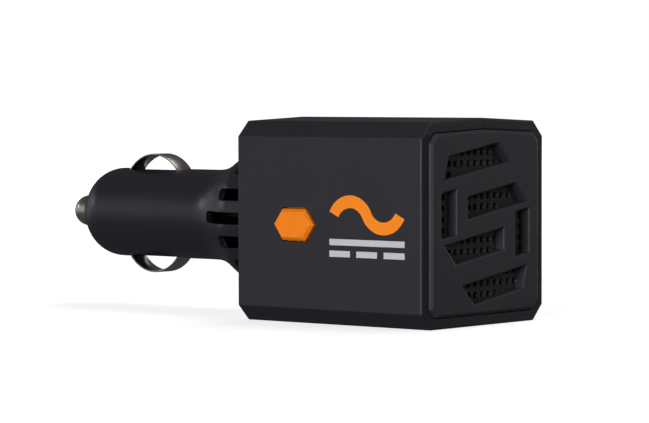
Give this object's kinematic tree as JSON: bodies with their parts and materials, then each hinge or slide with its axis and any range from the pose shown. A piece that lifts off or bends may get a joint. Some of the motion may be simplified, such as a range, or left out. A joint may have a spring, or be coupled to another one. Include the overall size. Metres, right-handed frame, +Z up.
{
  "type": "plug-in power inverter",
  "caption": "Compact inverter block that plugs into a vehicle accessory socket, with a push button, a perforated air grille and a mains and a USB outlet at the back.",
  "frame": {"origin": "centre of the housing's flat underside", "axes": "+Z up, -X along the plug towards its tip, +X out of the air grille, -Y out of the face with the button, +Y out of the face with the outlets"},
  "size_m": [0.1211, 0.0455, 0.0448],
  "materials": {
    "black_case": "fine satin texture",
    "black_panel": "fine satin texture",
    "orange_button": "satin",
    "orange_ink": "printed",
    "grey_ink": "printed",
    "black_insert": "satin",
    "black_fan": "moulded",
    "nickel": "bright nickel",
    "spring_steel": "drawn wire",
    "screw_steel": "blackened",
    "usb_steel": "stamped",
    "brass": "stamped",
    "fuse_glass": "clear",
    "fuse_metal": "drawn wire",
    "green_board": "solder mask",
    "ferrite": "sintered",
    "copper_wire": "enamelled",
    "black_component": "moulded",
    "yellow_film": "dipped",
    "aluminium_sink": "extruded",
    "white_tongue": "moulded",
    "black_lead": "insulation",
    "white_lead": "insulation"
  },
  "bodies": {
    "housing": {"front_shell": "black_case", "rear_shell": "black_case", "case_screws": "screw_steel", "badge_wave": "orange_ink", "badge_bars": "grey_ink", "switch_body": "black_component", "grille_panel": "black_panel", "perforated_screen": "black_panel", "nose_ring": "black_insert", "spring_seat": "brass", "pin_spring": "spring_steel", "main_board": "green_board", "transformer_core": "ferrite", "transformer_winding": "copper_wire", "input_capacitors": "black_component", "choke_core": "ferrite", "choke_winding": "copper_wire", "mosfets": "black_component", "heat_sink": "aluminium_sink", "film_capacitor": "yellow_film", "driver_chips": "black_component", "fan_frame": "black_fan", "fan_bearing": "brass", "fan_coils": "copper_wire", "outlet_insert": "black_insert", "line_contact": "brass", "neutral_contact": "brass", "ground_contact": "brass", "usb_shell": "usb_steel", "usb_tongue": "white_tongue", "usb_pins": "brass", "usb_board": "green_board", "input_lead": "black_lead", "output_leads": "white_lead"},
    "tip": {"tip_contact": "nickel", "fuse_tube": "fuse_glass", "fuse_caps": "nickel", "fuse_wire": "fuse_metal"},
    "top_contact": {"contact_top": "nickel"},
    "bottom_contact": {"contact_bottom": "nickel"},
    "button": {"power_button": "orange_button", "switch_plunger": "black_component"},
    "fan": {"fan_rotor": "black_fan", "fan_magnet": "ferrite", "fan_shaft": "screw_steel"}
  },
  "joints": [
    {"name": "tip_press", "type": "slide", "parent": "housing", "child": "tip", "axis": [1, 0, 0], "range_m": [0, 0.003], "stiffness_N_per_m": 900, "springref_m": -0.004, "deforming": ["pin_spring"]},
    {"name": "top_contact_press", "type": "slide", "parent": "housing", "child": "top_contact", "axis": [0, 0, -1], "range_m": [0, 0.0037], "stiffness_N_per_m": 1500, "springref_m": -0.002},
    {"name": "bottom_contact_press", "type": "slide", "parent": "housing", "child": "bottom_contact", "axis": [0, 0, 1], "range_m": [0, 0.0037], "stiffness_N_per_m": 1500, "springref_m": -0.002},
    {"name": "button_press", "type": "slide", "parent": "housing", "child": "button", "axis": [0, 1, 0], "range_m": [0, 0.0008], "stiffness_N_per_m": 1200, "springref_m": -0.001},
    {"name": "fan_spin", "type": "hinge", "parent": "housing", "child": "fan", "pos_m": [0.0176, 0, 0.022], "axis": [1, 0, 0], "continuous": true}
  ]
}
